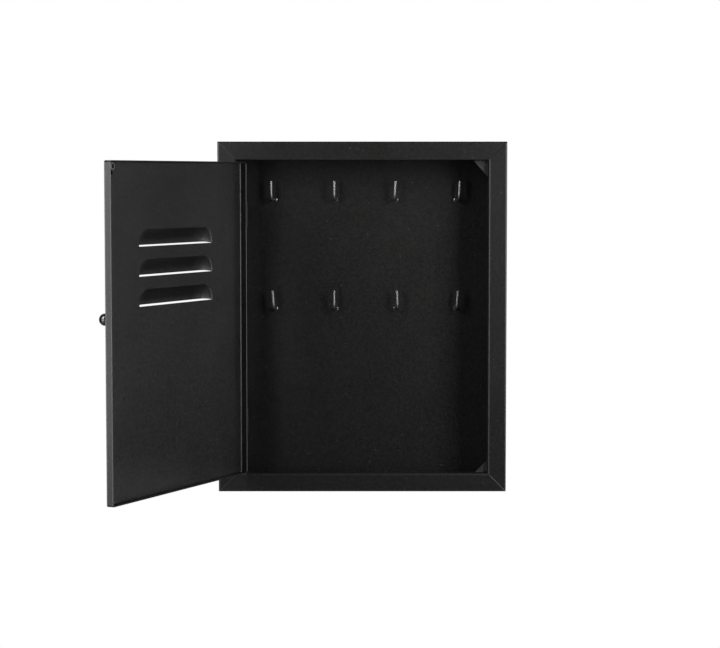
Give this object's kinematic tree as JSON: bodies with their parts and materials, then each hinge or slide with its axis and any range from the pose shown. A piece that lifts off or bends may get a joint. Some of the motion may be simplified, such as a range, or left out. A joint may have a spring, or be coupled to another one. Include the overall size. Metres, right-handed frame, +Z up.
{
  "type": "key cabinet",
  "caption": "Shallow wall cabinet of folded sheet metal with a mitred face frame, rows of wire key hooks and a louvred, hinged pan door with a round knob and a magnetic catch.",
  "frame": {"origin": "centre of the back panel's rear face, which rests on the wall", "axes": "+X to the right as one faces the cabinet, +Y into the wall, -Y out of the cabinet's open front, +Z up"},
  "size_m": [0.3796, 0.2916, 0.35],
  "materials": {
    "casing_powder_coat": "fine satin powder coat",
    "panel_powder_coat": "fine satin powder coat",
    "door_powder_coat": "fine satin powder coat",
    "gusset_powder_coat": "fine satin powder coat",
    "hook_powder_coat": "satin powder coat",
    "hinge_powder_coat": "satin powder coat",
    "hinge_pin_steel": "dull steel",
    "knob_gloss_lacquer": "gloss lacquer",
    "screw_black_oxide": "black oxide",
    "magnet_cup_nickel": "nickel plated",
    "magnet_core_ferrite": "dull sintered ferrite",
    "bumper_rubber": "matte"
  },
  "bodies": {
    "casing": {"stile_left": "casing_powder_coat", "stile_right": "casing_powder_coat", "rail_top": "casing_powder_coat", "rail_bottom": "casing_powder_coat", "back_panel": "panel_powder_coat", "gusset_top": "gusset_powder_coat", "gusset_bottom": "gusset_powder_coat", "hook_1": "hook_powder_coat", "hook_2": "hook_powder_coat", "hook_3": "hook_powder_coat", "hook_4": "hook_powder_coat", "hook_5": "hook_powder_coat", "hook_6": "hook_powder_coat", "hook_7": "hook_powder_coat", "hook_8": "hook_powder_coat", "hinge_upper_frame_leaf": "hinge_powder_coat", "hinge_lower_frame_leaf": "hinge_powder_coat", "hinge_upper_pin": "hinge_pin_steel", "hinge_lower_pin": "hinge_pin_steel"},
    "door": {"door_pan": "door_powder_coat", "hinge_upper_door_leaf": "hinge_powder_coat", "hinge_lower_door_leaf": "hinge_powder_coat", "knob": "knob_gloss_lacquer", "knob_screw": "screw_black_oxide", "magnet_cup": "magnet_cup_nickel", "magnet_core": "magnet_core_ferrite", "door_bumper": "bumper_rubber"}
  },
  "joints": [
    {"name": "door_hinge", "type": "hinge", "parent": "casing", "child": "door", "pos_m": [-0.12425, -0.0633, 0], "axis": [0, 0, -1], "range_deg": [-116, 59]}
  ]
}
